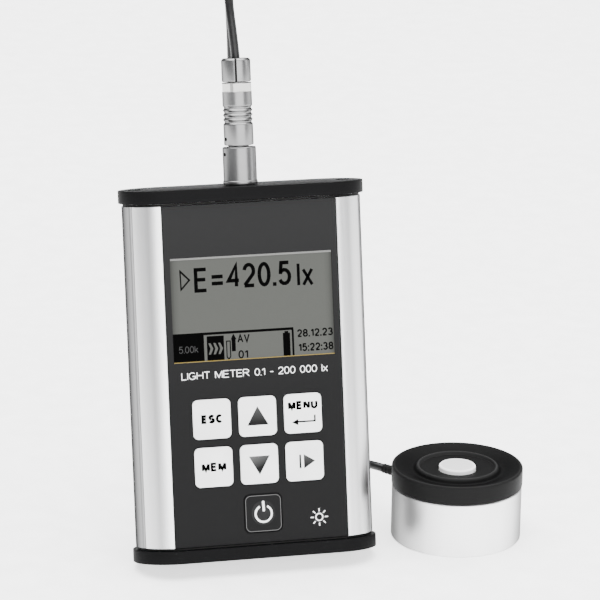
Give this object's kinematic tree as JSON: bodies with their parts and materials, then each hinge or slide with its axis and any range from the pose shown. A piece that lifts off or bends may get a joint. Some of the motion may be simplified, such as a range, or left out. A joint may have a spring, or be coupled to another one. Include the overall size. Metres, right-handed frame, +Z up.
{
  "type": "light meter",
  "caption": "Slim handheld light meter with display, keypad and fold-out stand, and a round light sensor head on a coiled cable with a push-pull plug.",
  "frame": {"origin": "centre of the box round the meter, its socket, its stand and the sensor head, on the surface that they stand on", "axes": "+X to the right along the meter's front, +Y to the back, +Z up; the meter leans back about X and the sensor head stands upright"},
  "size_m": [0.1664, 0.1486, 0.2371],
  "materials": {
    "black_cable": "matte",
    "black_plastic": "fine textured",
    "black_rubber": "matte",
    "brass": "plain turned",
    "cell_sleeve": "plain shrink sleeve",
    "circuit_board": "solder mask",
    "clear_plastic": "clear",
    "dark_grey_foil": "fine matte print",
    "display_grey": "smooth",
    "green_filter_glass": "coloured glass",
    "matte_chrome": "matte",
    "opal_plastic": "opal",
    "satin_aluminium": "satin anodised",
    "steel": "satin",
    "white_plastic": "satin"
  },
  "bodies": {
    "housing": {"front_shell": "satin_aluminium", "rear_shell": "satin_aluminium", "top_end_cap": "black_plastic", "bottom_end_cap": "black_plastic", "top_cap_gasket": "black_rubber", "bottom_cap_gasket": "black_rubber", "top_cap_screw_left": "steel", "top_cap_screw_right": "steel", "bottom_cap_screw_left": "steel", "bottom_cap_screw_right": "steel", "keypad_foil": "dark_grey_foil", "dome_sheet": "steel", "keypad_board": "circuit_board", "display_window": "clear_plastic", "display_glass": "display_grey", "display_backlight": "white_plastic", "display_frame": "black_plastic", "main_board": "circuit_board", "board_connector": "black_plastic", "battery_holder": "black_plastic", "battery_cell_left": "cell_sleeve", "battery_cell_right": "cell_sleeve", "battery_link": "steel", "battery_springs": "steel", "sensor_socket": "matte_chrome", "socket_nut": "steel", "socket_insert": "black_plastic", "stand_bracket": "black_plastic", "stand_pin": "steel", "stand_rivet_left": "steel", "stand_rivet_right": "steel", "sensor_cable": "black_cable", "cable_coil": "black_cable", "coil_tie": "black_rubber", "sensor_cable_end": "black_cable"},
    "key_esc": {"key_esc": "white_plastic"},
    "key_up": {"key_up": "white_plastic"},
    "key_menu": {"key_menu": "white_plastic"},
    "key_mem": {"key_mem": "white_plastic"},
    "key_down": {"key_down": "white_plastic"},
    "key_run": {"key_run": "white_plastic"},
    "key_power": {"key_power": "white_plastic"},
    "plug": {"plug_shell": "matte_chrome", "plug_insert": "black_plastic", "collet_nut": "matte_chrome", "cable_clamp": "brass"},
    "latch": {"latch_sleeve": "matte_chrome"},
    "stand": {"stand_leg": "black_plastic", "stand_foot": "black_rubber"},
    "sensor_head": {"sensor_body": "satin_aluminium", "sensor_cover": "black_plastic", "cover_seal": "black_rubber", "diffuser": "opal_plastic", "filter_holder": "black_plastic", "filter_stack": "green_filter_glass", "photodiode": "steel", "sensor_board": "circuit_board", "sensor_base_plate": "satin_aluminium", "strain_relief": "black_rubber"}
  },
  "joints": [
    {"name": "key_esc_press", "type": "slide", "parent": "housing", "child": "key_esc", "axis": [0, 0.9728, -0.2317], "range_m": [0, 0.0004], "stiffness_N_per_m": 800},
    {"name": "key_up_press", "type": "slide", "parent": "housing", "child": "key_up", "axis": [0, 0.9728, -0.2317], "range_m": [0, 0.0004], "stiffness_N_per_m": 800},
    {"name": "key_menu_press", "type": "slide", "parent": "housing", "child": "key_menu", "axis": [0, 0.9728, -0.2317], "range_m": [0, 0.0004], "stiffness_N_per_m": 800},
    {"name": "key_mem_press", "type": "slide", "parent": "housing", "child": "key_mem", "axis": [0, 0.9728, -0.2317], "range_m": [0, 0.0004], "stiffness_N_per_m": 800},
    {"name": "key_down_press", "type": "slide", "parent": "housing", "child": "key_down", "axis": [0, 0.9728, -0.2317], "range_m": [0, 0.0004], "stiffness_N_per_m": 800},
    {"name": "key_run_press", "type": "slide", "parent": "housing", "child": "key_run", "axis": [0, 0.9728, -0.2317], "range_m": [0, 0.0004], "stiffness_N_per_m": 800},
    {"name": "key_power_press", "type": "slide", "parent": "housing", "child": "key_power", "axis": [0, 0.9728, -0.2317], "range_m": [0, 0.0004], "stiffness_N_per_m": 800},
    {"name": "plug_pull", "type": "slide", "parent": "housing", "child": "plug", "axis": [0, 0.2317, 0.9728], "range_m": [0, 0.012], "deforming": ["sensor_cable"]},
    {"name": "latch_release", "type": "slide", "parent": "plug", "child": "latch", "axis": [0, 0.2317, 0.9728], "range_m": [-0.0012, 0], "stiffness_N_per_m": 900},
    {"name": "stand_fold", "type": "hinge", "parent": "housing", "child": "stand", "pos_m": [-0.03263, 0.01208, 0.08859], "axis": [1, 0, 0], "range_deg": [-30, 0]},
    {"name": "sensor_lift", "type": "slide", "parent": "housing", "child": "sensor_head", "axis": [0, 0, 1], "range_m": [0, 0.03], "deforming": ["sensor_cable_end"]}
  ]
}
